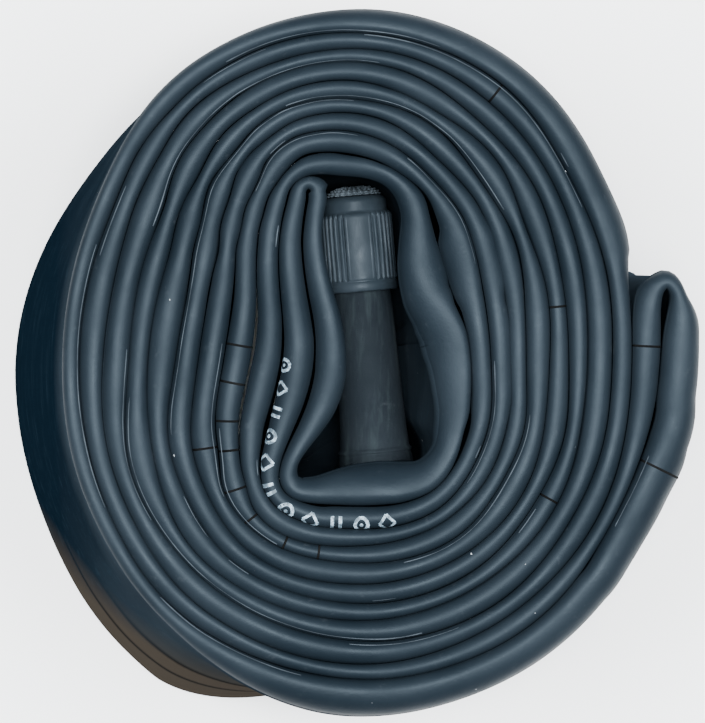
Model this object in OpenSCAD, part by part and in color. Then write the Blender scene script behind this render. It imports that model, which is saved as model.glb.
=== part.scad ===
// Bicycle inner tube, let down, pressed flat, folded in half opposite its valve and rolled
// round that valve. The roll lies flat: its axis is +Z, and its rear edge rests on z = 0.
// The valve lies across the middle of the roll and points along +Y.

/* [Tube] */
// Width of the tube when it is pressed flat, which is the roll's height
flat_width = 46; // [40:1:52]
// Thickness of the tube pressed flat, two walls together
flat_thickness = 1.6; // [1.2:0.1:1.6]

/* [Roll] */
// How far the turns swell where they pass over the folded end beside the cap
shoulder_height = 2.3; // [2.1:0.1:2.4]
// Angle between two points of the rolled turns, in degrees
turn_step = 7.5; // [5:2.5:7.5]

/* [Valve] */
// Lean of the valve to the left of +Y, in degrees
valve_lean = 4.85; // [4.6:0.05:5]
// Radius of the 8V1 thread at the tip of the barrel
barrel_thread_r = 3.85; // [3.8:0.01:3.88]
// Radius of the rubber covering at its ring near the foot
jacket_foot_r = 4.5; // [4.2:0.1:4.8]
// Height of the valve's tip above the tube
barrel_top = 36; // [35.5:0.1:36.1]
// Pitch of the thread under the cap
thread_pitch = 0.79375; // [0.7:0.00001:0.9]

/* [Cap] */
// Outer radius over the ribs
cap_r = 4.85; // [4.6:0.05:4.9]
// Running clearance between cap and thread, on the radius
cap_clearance = 0.05; // [0.03:0.01:0.08]
// Angle from one rib to the next, in degrees
rib_angle = 10; // [8:1:12]
// Ribs on each side of the cap, between the plain panels
ribs_per_side = 13; // [9:2:13]

/* [Core] */
// Radius of the threaded core plug
plug_r = 2.55; // [2.5:0.01:2.56]
// Radius of the core pin
pin_r = 0.45; // [0.4:0.01:0.46]
// Radius of the spring's wire
wire_r = 0.18; // [0.15:0.01:0.2]
// Turns of the spring
spring_turns = 7; // [5:1:8]

/* [Hidden] */
$fn = 72;

// Centre of the roll, which puts the origin under the middle of the whole outline
roll_centre = [-2.05, -0.08];
// Point where the valve's axis leaves the tube, from the centre of the roll
valve_foot = [3.9, -15.9];
mid_z = flat_width / 2;
half = flat_thickness / 2;

// Radii of three turns by compass direction, every 30 degrees counter-clockwise from +X:
// the first whole turn, the one in the middle of the roll, and the last
compass_step = 30;
inner_turn = [15.8, 16.5, 21.3, 25.7, 21.3, 13.4, 11.8, 14.5, 21.2, 21.0, 20.7, 18.1];
middle_turn = [25.4, 27.2, 31.5, 35.0, 32.4, 26.1, 24.6, 27.7, 30.8, 30.5, 29.7, 27.5];
outer_turn = [36.3, 37.5, 41.5, 43.0, 42.0, 38.3, 37.0, 38.2, 40.8, 40.6, 39.7, 37.6];
// Layers from the first whole turn to the last
layer_count = 8;
shoulder_angle = 108;
shoulder_spread = 14;
shoulder_layers = 5;

// The two branches leave the valve to the left and to the right, and each starts to follow
// the compass at its own angle. A branch gains a layer every half turn.
left_start = 255;
left_end = 1800;
left_lag = 2;
right_start = 210;
right_end = 1762.5;
right_lag = 1;

// From the valve's foot: round the left corner, up beside the stem, over, and down again
left_core = [
    [-2, -16.7], [-5.4, -16.7], [-7.5, -16.3], [-8.5, -15.0], [-8.3, -13.2], [-7.2, -11.0],
    [-5.6, -8.3], [-4.1, -5.2], [-3.1, -1.7], [-2.9, 1.9], [-3.3, 5.3], [-4.1, 8.5],
    [-4.8, 11.8], [-5.2, 15.0], [-5.1, 18.2], [-4.8, 20.6], [-5.1, 21.8], [-6.0, 22.3],
    [-6.9, 21.8], [-7.3, 20.6], [-7.9, 18.2], [-8.4, 15.2], [-8.4, 12.0], [-8.1, 8.6],
    [-7.7, 5.3], [-7.4, 2.0], [-7.6, -1.6], [-8.4, -5.4], [-9.6, -9.0], [-10.7, -12.5],
    [-10.8, -15.4], [-9.2, -17.8]
];
// From the valve's foot: up the right side, in beside the cap, over it and down the left
right_core = [
    [2, -16.7], [6, -16.5], [9.4, -15.1], [12.0, -11.8], [13.2, -8.0], [13.6, -4.0],
    [13.6, -0.2], [13.0, 3.4], [11.3, 6.3], [9.3, 8.7], [8.1, 11.6], [7.9, 15.0],
    [7.7, 18.3], [6.6, 21.1], [4.4, 23.2], [1.6, 24.3], [-1.6, 24.7], [-4.5, 24.7],
    [-6.9, 24.1], [-8.8, 22.4], [-10.0, 19.6], [-10.8, 16.2], [-11.1, 12.4], [-11.0, 8.6],
    [-10.8, 4.9], [-11.1, 1.0], [-12.0, -3.0]
];
// The fold opposite the valve, a slack loop outside the last turn
far_fold = [
    [36.5, 3.4], [37.0, 6.6], [37.8, 9.0], [39.2, 9.8], [40.5, 8.4], [41.1, 5.2], [40.9, 1.0],
    [40.4, -4.0], [39.2, -10.2]
];
// Points drawn between two of the hand-placed ones
core_points = 4;

// Heights along the valve, from the tube's face
patch_top = 1.0;
foot_top = 1.8;
jacket_top = 24.4;
cap_bottom = 24.5;
cap_top = 38.3;
port_r = 1.5;
air_r = 2.05;
core_bore_r = 2.6;
ledge = 14.0;
cone_low = 28.0;
cone_high = 29.2;
barrel_inner_r = 2.9;
foot_flange_r = 4.4;
shell_r = 1.5;
shell_bore_r = 1.0;
shell_low = 24.6;
plug_low = 30.4;
plug_high = 34.0;
cup_low = 22.6;
cup_high = 24.2;
pin_low = 13.4;
pin_high = 35.6;
guide_r = pin_r + 0.05;
foot_high = 15.0;
seal_gap = 0.05;
seal_low = barrel_top + seal_gap;
seal_high = seal_low + 0.85;
seal_r = 3.6;
seal_recess_r = 3.66;
seal_recess_high = seal_high + 0.02;
spring_r = 1.25;
spring_sides = 8;
spring_rings = 14;

rubber = [0.16, 0.19, 0.22];
rubber_dull = [0.20, 0.21, 0.21];
cap_plastic = [0.22, 0.25, 0.28];
brass = [0.78, 0.63, 0.32];

function around(list, i) = list[((i % len(list)) + len(list)) % len(list)];

// A smooth curve through b and c, with its neighbours a and d
function glide(a, b, c, d, t) =
    (2 * b + (c - a) * t + (2 * a - 5 * b + 4 * c - d) * t * t
        + (3 * b - a - 3 * c + d) * t * t * t) / 2;

function compass(turn, angle) =
    let (s = angle / compass_step, i = floor(s))
    glide(around(turn, i - 1), around(turn, i), around(turn, i + 1), around(turn, i + 2), s - i);

// Swelling of the inner layers over the folded end
function shoulder(layer, angle) =
    let (off = (angle - shoulder_angle) % 360, d = off > 180 ? off - 360 : off)
    shoulder_height * max(0, 1 - layer / shoulder_layers) * exp(-pow(d / shoulder_spread, 2));

function turn_radius(layer, angle) =
    let (
        u = layer / layer_count,
        a = compass(inner_turn, angle),
        b = compass(middle_turn, angle),
        c = compass(outer_turn, angle)
    )
    a * (1 - u) * (1 - 2 * u) + 4 * b * u * (1 - u) + c * u * (2 * u - 1)
        + shoulder(layer, angle);

function turn_point(angle, lag) =
    let (r = turn_radius(angle / 180 - lag, angle))
    [r * cos(angle), r * sin(angle)];

function backwards(list) = [for (i = [len(list) - 1:-1:0]) list[i]];

left_turns = [for (a = [left_start:turn_step:left_end]) turn_point(a, left_lag)];
right_turns = [for (a = [right_start:turn_step:right_end]) turn_point(a, right_lag)];
guide = concat(left_core, left_turns, far_fold, backwards(right_turns), backwards(right_core));
guide_count = len(guide);

// The turns are close together already, so only the hand-placed stretches get points between
first_turn = len(left_core);
last_left = first_turn + len(left_turns) - 1;
first_right = last_left + 1 + len(far_fold);
last_right = first_right + len(right_turns) - 1;
function is_turn(i) = (i >= first_turn && i < last_left) || (i >= first_right && i < last_right);

centre_line = [
    for (i = [0:guide_count - 1])
        let (n = is_turn(i) ? 1 : core_points)
        for (k = [0:n - 1])
            glide(around(guide, i - 1), guide[i], around(guide, i + 1), around(guide, i + 2), k / n)
];
line_count = len(centre_line);

function unit(v) = v / norm(v);

// The centre line moved sideways, positive to the right of its direction
function beside(i, distance) =
    let (along = unit(around(centre_line, i + 1) - around(centre_line, i - 1)))
    centre_line[i] + distance * [along[1], -along[0]];

module at_roll() {
    translate([roll_centre[0], roll_centre[1], 0])
        children();
}

// Draws along +Z from the tube's face and lays it down along the valve's axis
module at_valve() {
    at_roll()
        translate([valve_foot[0], valve_foot[1], mid_z])
            rotate([0, 0, valve_lean])
                rotate([-90, 0, 0])
                    children();
}

module ring(r, hole, low, high) {
    translate([0, 0, low])
        difference() {
            cylinder(r = r, h = high - low);
            translate([0, 0, -1])
                cylinder(r = hole, h = high - low + 2);
        }
}

module tube() {
    outline = [for (i = [0:line_count - 1]) beside(i, half)];
    hollow = [for (i = [0:line_count - 1]) beside(i, -half)];
    color(rubber)
        difference() {
            at_roll()
                linear_extrude(height = flat_width)
                    polygon(
                        concat(outline, hollow),
                        [
                            [for (i = [0:line_count - 1]) i],
                            [for (i = [0:line_count - 1]) line_count + i]
                        ]
                    );
            // Air hole through the wall that carries the valve
            at_valve()
                translate([0, 0, -half])
                    cylinder(r = port_r, h = 2 * half);
        }
}

module valve_base_patch() {
    pad_length = 34;
    pad_width = 10;
    corner = 3;
    color(rubber_dull)
        difference() {
            at_valve()
                hull()
                    for (x = [-1, 1], y = [-1, 1])
                        translate([x * (pad_width / 2 - corner), y * (pad_length / 2 - corner), 0])
                            cylinder(r = corner, h = patch_top);
            // The face of the tube under the pad
            at_roll()
                translate([0, 0, -1])
                    linear_extrude(height = flat_width + 2)
                        polygon(
                            concat(
                                [for (i = [0:3 * core_points]) beside(i, half)],
                                [[-9, -20], [16, -20]],
                                [
                                    for (i = [4 * core_points:-1:1])
                                        beside(line_count - i, half)
                                ]
                            )
                        );
            at_valve()
                translate([0, 0, -2])
                    cylinder(r = port_r, h = 5);
        }
}

module valve_stem_jacket() {
    foot_r = 4.9;
    color(rubber_dull)
        at_valve()
            rotate_extrude()
                polygon([
                    [port_r, patch_top], [foot_r, patch_top], [foot_r, 1.4], [foot_r - 0.1, 2.0],
                    [jacket_foot_r + 0.15, 2.6], [jacket_foot_r + 0.1, 3.0], [jacket_foot_r, 3.3],
                    [4.35, 7.0], [4.15, 14.0], [3.95, 20.0], [barrel_thread_r, jacket_top - 0.3],
                    [barrel_thread_r - 0.3, jacket_top], [barrel_inner_r, jacket_top],
                    [barrel_inner_r, foot_top + 0.3], [foot_flange_r, foot_top + 0.3],
                    [foot_flange_r, foot_top - 0.5], [port_r, foot_top - 0.5]
                ]);
}

module valve_barrel() {
    thread_depth = 0.35;
    thread_low = jacket_top + 0.1;
    crests = floor((barrel_top - 0.4 - thread_low) / thread_pitch);
    color(brass)
        at_valve()
            rotate_extrude()
                polygon(concat(
                    [
                        [port_r, foot_top - 0.5], [foot_flange_r, foot_top - 0.5],
                        [foot_flange_r, foot_top + 0.3], [barrel_inner_r, foot_top + 0.3],
                        [barrel_inner_r, jacket_top]
                    ],
                    [
                        for (i = [0:crests - 1], k = [0, 1, 2])
                            let (low = thread_low + i * thread_pitch)
                            [
                                barrel_thread_r - (k == 0 ? thread_depth : 0),
                                low + (k == 0 ? 0 : (0.3 + 0.2 * (k - 1)) * thread_pitch)
                            ]
                    ],
                    [
                        [barrel_thread_r - thread_depth, thread_low + crests * thread_pitch],
                        [barrel_thread_r - thread_depth, barrel_top],
                        [core_bore_r + 0.3, barrel_top], [core_bore_r, barrel_top - 0.4],
                        [core_bore_r, cone_high], [air_r, cone_low], [air_r, ledge],
                        [port_r, ledge]
                    ]
                ));
}

module core_plug() {
    flat = 1.6;
    bridge_low = 32.4;
    color(brass)
        at_valve()
            difference() {
                ring(plug_r, guide_r, plug_low, plug_high);
                // The bridge that the core tool turns: two flats and the air slots beside it
                for (side = [-1, 1])
                    translate([side * (flat + 5), 0, bridge_low + 5])
                        cube([10, 20, 10], center = true);
                for (side = [-1, 1])
                    translate([0, side * 1.3, plug_low - 1])
                        cylinder(r = 0.55, h = 7);
            }
}

module core_gasket() {
    slip = 0.02;
    gasket_low = 28.4;
    gasket_high = 30.0;
    slope = (core_bore_r - air_r) / (cone_high - cone_low);
    low_r = air_r + slope * (gasket_low - cone_low) - slip;
    color([0.55, 0.12, 0.1])
        at_valve()
            rotate_extrude()
                polygon([
                    [shell_r + slip, gasket_low], [low_r, gasket_low],
                    [core_bore_r - slip, cone_high], [core_bore_r - slip, gasket_high],
                    [shell_r + slip, gasket_high]
                ]);
}

module core_shell() {
    color(brass)
        at_valve()
            ring(shell_r, shell_bore_r, shell_low, plug_low);
}

module core_pin() {
    head_r = 0.62;
    color(brass)
        at_valve() {
            translate([0, 0, pin_low])
                cylinder(r = pin_r, h = pin_high - pin_low);
            // The head stays proud of the bridge through the whole press
            translate([0, 0, pin_high - 0.3])
                cylinder(r = head_r, h = 0.3);
        }
}

module core_cup() {
    cup_r = 1.6;
    color(brass)
        at_valve()
            ring(cup_r, pin_r, cup_low, cup_high);
}

module core_washer() {
    washer_r = 1.45;
    color([0.1, 0.1, 0.1])
        at_valve()
            ring(washer_r, pin_r, cup_high, shell_low);
}

// One closed sweep along a helix, as points and faces
module helix(radius, wire, low, high, turns, rings, sides) {
    count = turns * rings;
    rise = (high - low - 2 * wire) / count;
    points = [
        for (i = [0:count], k = [0:sides - 1])
            let (
                a = i * 360 / rings,
                b = k * 360 / sides,
                r = radius + wire * cos(b)
            )
            [r * cos(a), r * sin(a), low + wire + i * rise + wire * sin(b)]
    ];
    walls = [
        for (i = [0:count - 1], k = [0:sides - 1])
            let (
                a = i * sides + k,
                b = i * sides + (k + 1) % sides
            )
            [a, a + sides, b + sides, b]
    ];
    caps = [
        [for (k = [0:sides - 1]) k],
        [for (k = [sides - 1:-1:0]) count * sides + k]
    ];
    polyhedron(points, concat(walls, caps));
}

module core_spring() {
    color([0.75, 0.76, 0.78])
        at_valve()
            helix(spring_r, wire_r, foot_high, cup_low, spring_turns, spring_rings, spring_sides);
}

module core_foot() {
    slip = 0.05;
    color(brass)
        at_valve()
            difference() {
                ring(air_r - slip, guide_r, ledge, foot_high);
                for (side = [-1, 1])
                    translate([side * 1.15, 0, ledge - 1])
                        cylinder(r = 0.4, h = 3);
            }
}

module valve_cap() {
    wall_r = cap_r - 0.3;
    flange_r = cap_r - 0.1;
    shoulder_r = 4.2;
    crown_r = 3.1;
    rib_r = 0.3;
    bore_r = barrel_thread_r + cap_clearance;
    bore_high = barrel_top - 0.1;
    flange_high = cap_bottom + 1.3;
    rib_high = cap_bottom + 10.3;
    shoulder_high = cap_bottom + 12.0;
    color(cap_plastic)
        at_valve() {
            rotate_extrude()
                polygon([
                    [bore_r, cap_bottom], [wall_r, cap_bottom], [flange_r, cap_bottom + 0.2],
                    [flange_r, flange_high], [wall_r, flange_high + 0.15], [wall_r, rib_high - 0.1],
                    [wall_r - 0.3, rib_high + 0.1], [shoulder_r, rib_high + 0.5],
                    [shoulder_r, shoulder_high], [shoulder_r - 0.25, shoulder_high + 0.4],
                    [crown_r + 0.4, shoulder_high + 0.7], [crown_r, shoulder_high + 1.3],
                    [crown_r - 1.1, cap_top - 0.1], [0, cap_top], [0, seal_recess_high],
                    [seal_recess_r, seal_recess_high], [seal_recess_r, bore_high],
                    [bore_r, bore_high]
                ]);
            for (side = [0, 180], i = [0:ribs_per_side - 1])
                rotate([0, 0, side + (i - (ribs_per_side - 1) / 2) * rib_angle])
                    translate([wall_r, 0, flange_high - 0.2])
                        cylinder(r = rib_r, h = rib_high - flange_high + 0.1);
        }
}

module cap_seal() {
    color([0.12, 0.12, 0.12])
        at_valve()
            translate([0, 0, seal_low])
                cylinder(r = seal_r, h = seal_high - seal_low);
}

tube();
valve_base_patch();
valve_stem_jacket();
valve_barrel();
core_plug();
core_gasket();
core_shell();
core_pin();
core_cup();
core_washer();
core_spring();
core_foot();
valve_cap();
cap_seal();
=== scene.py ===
import math

import bpy
import numpy as np
from mathutils import Matrix, Vector, kdtree


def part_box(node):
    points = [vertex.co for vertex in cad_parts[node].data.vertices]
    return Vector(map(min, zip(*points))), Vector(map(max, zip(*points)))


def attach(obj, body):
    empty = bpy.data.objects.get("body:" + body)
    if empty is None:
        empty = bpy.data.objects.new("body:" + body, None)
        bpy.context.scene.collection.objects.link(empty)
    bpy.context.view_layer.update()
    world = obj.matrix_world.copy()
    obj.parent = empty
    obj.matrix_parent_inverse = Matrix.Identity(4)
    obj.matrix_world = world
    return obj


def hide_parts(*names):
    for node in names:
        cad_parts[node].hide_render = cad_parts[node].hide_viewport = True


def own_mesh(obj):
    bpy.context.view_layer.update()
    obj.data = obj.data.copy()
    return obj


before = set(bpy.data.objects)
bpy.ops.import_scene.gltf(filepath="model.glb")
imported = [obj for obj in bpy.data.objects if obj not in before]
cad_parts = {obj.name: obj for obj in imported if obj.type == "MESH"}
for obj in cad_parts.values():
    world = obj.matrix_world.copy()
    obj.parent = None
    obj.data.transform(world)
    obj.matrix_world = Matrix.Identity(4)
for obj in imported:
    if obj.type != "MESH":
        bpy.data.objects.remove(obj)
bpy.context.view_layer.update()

MM = 0.001

# ---- The roll, as in the part's source ----

# The roll's centre, the valve's foot from there, and the valve's lean in degrees
ROLL_CENTRE = np.array([-2.05, -0.08])
VALVE_FOOT = np.array([3.9, -15.9])
VALVE_LEAN = 4.85
# The cap's rim along the valve, the tube's flat width, and the thickness of one wall
CAP_BOTTOM = 24.5
WIDTH = (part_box("tube")[1].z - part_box("tube")[0].z) / MM
WEB_HALF = 0.8

# Radii of three turns at every 30 degrees, and the layers from the inner to the outer one
COMPASS_STEP = 30
INNER_TURN = [15.8, 16.5, 21.3, 25.7, 21.3, 13.4, 11.8, 14.5, 21.2, 21.0, 20.7, 18.1]
MIDDLE_TURN = [25.4, 27.2, 31.5, 35.0, 32.4, 26.1, 24.6, 27.7, 30.8, 30.5, 29.7, 27.5]
OUTER_TURN = [36.3, 37.5, 41.5, 43.0, 42.0, 38.3, 37.0, 38.2, 40.8, 40.6, 39.7, 37.6]
LAYER_COUNT = 8
# Degrees between guide points, and each strand's first and last angle and its lag in layers
TURN_STEP = 7.5
LEFT_RANGE = (255, 1800, 2)
RIGHT_RANGE = (210, 1762.5, 1)
# The swell that the first layers have at one bearing
SHOULDER_ANGLE = 108
SHOULDER_SPREAD = 14
SHOULDER_HEIGHT = 2.3
SHOULDER_LAYERS = 5

# Listed guide points: the strand to the valve's left, the one to its right, the far fold
LEFT_CORE = [
    (-2, -16.7), (-5.4, -16.7), (-7.5, -16.3), (-8.5, -15.0), (-8.3, -13.2), (-7.2, -11.0),
    (-5.6, -8.3), (-4.1, -5.2), (-3.1, -1.7), (-2.9, 1.9), (-3.3, 5.3), (-4.1, 8.5),
    (-4.8, 11.8), (-5.2, 15.0), (-5.1, 18.2), (-4.8, 20.6), (-5.1, 21.8), (-6.0, 22.3),
    (-6.9, 21.8), (-7.3, 20.6), (-7.9, 18.2), (-8.4, 15.2), (-8.4, 12.0), (-8.1, 8.6),
    (-7.7, 5.3), (-7.4, 2.0), (-7.6, -1.6), (-8.4, -5.4), (-9.6, -9.0), (-10.7, -12.5),
    (-10.8, -15.4), (-9.2, -17.8),
]
RIGHT_CORE = [
    (2, -16.7), (6, -16.5), (9.4, -15.1), (12.0, -11.8), (13.2, -8.0), (13.6, -4.0),
    (13.6, -0.2), (13.0, 3.4), (11.3, 6.3), (9.3, 8.7), (8.1, 11.6), (7.9, 15.0),
    (7.7, 18.3), (6.6, 21.1), (4.4, 23.2), (1.6, 24.3), (-1.6, 24.7), (-4.5, 24.7),
    (-6.9, 24.1), (-8.8, 22.4), (-10.0, 19.6), (-10.8, 16.2), (-11.1, 12.4), (-11.0, 8.6),
    (-10.8, 4.9), (-11.1, 1.0), (-12.0, -3.0),
]
FAR_FOLD = [
    (36.5, 3.4), (37.0, 6.6), (37.8, 9.0), (39.2, 9.8), (40.5, 8.4), (41.1, 5.2), (40.9, 1.0),
    (40.4, -4.0), (39.2, -10.2),
]
# The step between stations where the route is straight and where it turns by more than this
STRAIGHT_STEP = 1.0
BEND_STEP = 0.45
BEND = 0.2


def glide(a, b, c, d, t):
    """A smooth curve through b and c, with neighbours a and d."""
    square = (2 * a - 5 * b + 4 * c - d) * t * t
    cube = (3 * b - a - 3 * c + d) * t * t * t
    return (2 * b + (c - a) * t + square + cube) / 2


def compass(turn, angle):
    """A turn's radius at any angle, from its radii all round the compass."""
    s = angle / COMPASS_STEP
    i = math.floor(s)
    a, b, c, d = (turn[(i + k) % len(turn)] for k in (-1, 0, 1, 2))
    return glide(a, b, c, d, s - i)


def turn_radius(layer, angle):
    """Radius of a layer, between the inner, middle and outer turn."""
    u = layer / LAYER_COUNT
    a = compass(INNER_TURN, angle)
    b = compass(MIDDLE_TURN, angle)
    c = compass(OUTER_TURN, angle)
    off = (angle - SHOULDER_ANGLE + 180) % 360 - 180
    swell = SHOULDER_HEIGHT * max(0, 1 - layer / SHOULDER_LAYERS)
    swell *= math.exp(-((off / SHOULDER_SPREAD) ** 2))
    return a * (1 - u) * (1 - 2 * u) + 4 * b * u * (1 - u) + c * u * (2 * u - 1) + swell


def turns(first, last, lag):
    """Guide points of one strand, which gains a layer every half turn."""
    points = []
    for angle in np.arange(first, last + 0.1, TURN_STEP):
        r = turn_radius(angle / 180 - lag, angle)
        a = math.radians(angle)
        points.append((r * math.cos(a), r * math.sin(a)))
    return points


def guide_points():
    """The closed route's guide points, from the valve's foot to the left."""
    left = turns(*LEFT_RANGE)
    right = turns(*RIGHT_RANGE)
    return np.array(LEFT_CORE + left + FAR_FOLD + right[::-1] + RIGHT_CORE[::-1])


def route():
    """The centre line in the row frame, with closer stations where it bends tightly."""
    guide = guide_points()
    n = len(guide)
    line = []
    for i in range(n):
        a, b, c, d = (guide[(i + k) % n] for k in (-1, 0, 1, 2))
        turning = np.linalg.norm((c - b) / np.linalg.norm(c - b) - (b - a) / np.linalg.norm(b - a))
        part = STRAIGHT_STEP if turning < BEND else BEND_STEP
        count = max(2, math.ceil(np.linalg.norm(c - b) / part))
        line += [glide(a, b, c, d, k / count) for k in range(count)]
    return np.array(line) + ROLL_CENTRE


# ---- Small tools ----


def smooth_step(low, high, x):
    """0 at `low` to 1 at `high`, level at both ends."""
    t = np.clip((x - low) / (high - low), 0, 1)
    return t * t * (3 - 2 * t)


def wander(length, spacing, seed):
    """Closed smooth noise from -1 to 1, one value for each station."""
    knots = max(4, int(length / spacing))
    values = np.random.default_rng(seed).uniform(-1, 1, knots)
    s = np.linspace(0, knots, length, endpoint=False)
    i = np.floor(s).astype(int)
    t = s - i
    a, b, c, d = (values[(i + k) % knots] for k in (-1, 0, 1, 2))
    return np.clip(glide(a, b, c, d, t), -1, 1)


def soften(values, count):
    """A moving average along the closed route."""
    kernel = np.hanning(2 * count + 3)[1:-1]
    kernel /= kernel.sum()
    wide = np.concatenate([values[-count:], values, values[:count]])
    return np.convolve(wide, kernel, mode="valid")


def build(name, points, faces, material, smooth=True):
    """A mesh object from points in millimetres, in the row frame."""
    mesh = bpy.data.meshes.new(name)
    mesh.from_pydata([tuple(p) for p in np.asarray(points) * MM], [], faces)
    mesh.validate()
    mesh.update()
    obj = bpy.data.objects.new(name, mesh)
    bpy.context.scene.collection.objects.link(obj)
    mesh.materials.append(material)
    for face in mesh.polygons:
        face.use_smooth = smooth
    return obj


def grid_faces(rows, columns, start=0, close_rows=False, close_columns=True):
    """Faces between rows of points, the first of which is point `start`."""
    faces = []
    for i in range(rows if close_rows else rows - 1):
        a, b = start + i * columns, start + (i + 1) % rows * columns
        for k in range(columns if close_columns else columns - 1):
            m = (k + 1) % columns
            faces.append((a + k, a + m, b + m, b + k))
    return faces


# ---- The tube ----

# How far a strand looks for its neighbours, and the length of route that counts as itself
SEARCH_RADIUS = 7.0
OWN_LENGTH = 2.4
# How squarely a neighbour must lie on one side, and the share of the gap that a strand takes
SQUARENESS = 0.8
GAP_SHARE = 0.49
# Room on a side with no neighbour
OPEN_ROOM = 9.0


class Band:
    """The tube's centre line, its directions, and the room it has on either side."""

    def __init__(self):
        self.line = route()
        self.count = len(self.line)
        ahead = np.roll(self.line, -1, 0) - np.roll(self.line, 1, 0)
        self.along = ahead / np.linalg.norm(ahead, axis=1)[:, None]
        self.side = np.stack([self.along[:, 1], -self.along[:, 0]], 1)
        gaps = np.linalg.norm(np.roll(self.line, -1, 0) - self.line, axis=1)
        self.travel = np.concatenate([[0], np.cumsum(gaps)[:-1]])
        self.length = gaps.sum()
        self.from_centre = self.line - ROLL_CENTRE
        self.radius = np.linalg.norm(self.from_centre, axis=1)
        self.bearing = np.degrees(np.arctan2(self.from_centre[:, 1], self.from_centre[:, 0])) % 360
        self.right = self.room(1)
        self.left = self.room(-1)

    def path_gap(self, i, j):
        d = abs(self.travel[i] - self.travel[j])
        return min(d, self.length - d)

    def room(self, hand):
        """Nearly half the distance to the next strand on one side."""
        tree = kdtree.KDTree(self.count)
        for i, p in enumerate(self.line):
            tree.insert((p[0], p[1], 0), i)
        tree.balance()
        half = np.full(self.count, OPEN_ROOM)
        for i in range(self.count):
            p = self.line[i]
            n = self.side[i] * hand
            for q, j, d in tree.find_range((p[0], p[1], 0), SEARCH_RADIUS):
                if self.path_gap(i, j) < OWN_LENGTH:
                    continue
                ahead = (q[0] - p[0]) * n[0] + (q[1] - p[1]) * n[1]
                if ahead > SQUARENESS * d:
                    half[i] = min(half[i], GAP_SHARE * d)
        return half

    def station(self, x, y):
        """The station whose centre is nearest to a place in the roll."""
        return int(np.argmin(np.linalg.norm(self.from_centre - np.array([x, y]), axis=1)))


def near_place(band, x, y, full, none):
    """1 within `full` mm of a place in the roll, fading to 0 at `none` mm."""
    far = np.linalg.norm(band.from_centre - np.array([x, y]), axis=1)
    return 1 - smooth_step(full, none, far)


# Half thickness of an edge left to itself, and the least and the most that it may be
EDGE_HALF = 1.4
LEAST_HALF = 0.78
MOST_HALF = 4.2
# The last turn's outer side is free where its room is over this, outside this radius
FREE_ROOM = 3.4
FREE_RADIUS = 34
# Extra half thickness on the free outer side of the last turn, by bearing
FREE_BEARINGS = (0, 6, 11, 19, 34, 86, 96, 114, 140, 236, 256, 266, 290, 322, 334, 342, 347, 360)
FREE_EXTRA = (
    0.4, 0.0, 0.2, 2.3, 1.3, 0.8, 0.4, -0.2, -0.5, -0.5, 1.3, 2.0, 1.7, 1.8, 2.2, 1.4, 0.6, 0.4
)
# Half thickness of the first strand on the valve's side, by its place along the valve
BESIDE_PLACES = (-16.0, -13.0, -10.5, -8.0, -5.0, -2.0, 2.0, 5.0, 8.5, 12.0, 18.0)
BESIDE_HALVES = (0.8, 0.8, 0.85, 1.55, 2.1, 1.8, 1.55, 1.35, 1.3, 1.0, 0.85)
# Extra half thickness of the last strand on the valve's side, by the way left to the valve
LAST_PLACES = (0, 7, 12, 16, 20, 24, 28, 36, 42, 47, 54)
LAST_EXTRA = (2.7, 2.7, 1.7, 0.7, 0.7, 1.3, 2.2, 2.4, 1.3, 0.8, 0.0)
# How far the line between two crowded strands shifts
CROWDING = 0.26


def crowding(band, half, hand):
    """Shift of the line where two strands meet, which makes one wider and the other narrower."""
    edge = band.from_centre + hand * band.side * half[:, None]
    r = np.linalg.norm(edge, axis=1)
    a = np.arctan2(edge[:, 1], edge[:, 0])
    shift = np.sin(0.80 * r + 2.0 * a) + 0.7 * np.sin(1.35 * r - 3.0 * a + 1.3)
    outward = np.sign(hand * (band.side * band.from_centre).sum(axis=1))
    return CROWDING * shift * outward * smooth_step(19, 23, r)


def natural_half(band):
    """Half thickness of an edge with room to spare: fuller beside the stem and down the far
    fold, thinner at the far fold's tip."""
    x, y = band.from_centre.T
    half = EDGE_HALF + 0.10 * wander(band.count, 22, 3)
    beside_stem = smooth_step(-1, -3, x) * smooth_step(21, 16, band.radius)
    half += 0.95 * beside_stem * smooth_step(20, 14, np.abs(y))
    half += 0.85 * near_place(band, 40.5, -4.0, 8, 13.5)
    half -= 1.15 * near_place(band, 39.0, 9.6, 2.2, 4.6)
    return half


def puff_to_valve(band, natural):
    """Extra half thickness on the route's right side, which faces the valve."""
    back = band.length - band.travel
    puff = 2.7 * smooth_step(6.5, 1.5, band.travel)
    puff = np.maximum(puff, np.interp(back, LAST_PLACES, LAST_EXTRA))
    puff = np.maximum(puff, 0.5 * smooth_step(19, 23, band.radius))
    tip = band.travel[band.station(-4.8, 20.6)]
    first = smooth_step(6, 9, band.travel) * smooth_step(tip + 1, tip - 2, band.travel)
    beside = np.interp(band.from_centre[:, 1], BESIDE_PLACES, BESIDE_HALVES)
    return puff + first * (beside - natural - puff)


def puff_away(band):
    """Extra half thickness on the left side, more right of the valve and in the far fold."""
    puff = 0.5 + 1.6 * near_place(band, 11.5, 10.0, 4.5, 9)
    return puff + 1.5 * near_place(band, 37.0, 7.0, 3, 7)


def gap_closing(band):
    """What the left side gains right of the valve, whatever its room, to close the gaps."""
    gain = 0.75 * near_place(band, 13.6, 12.0, 3.5, 6)
    gain += 0.6 * near_place(band, 8.8, 10.2, 3, 5)
    return gain + 0.4 * near_place(band, 13.4, 0.0, 6, 9)


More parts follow.
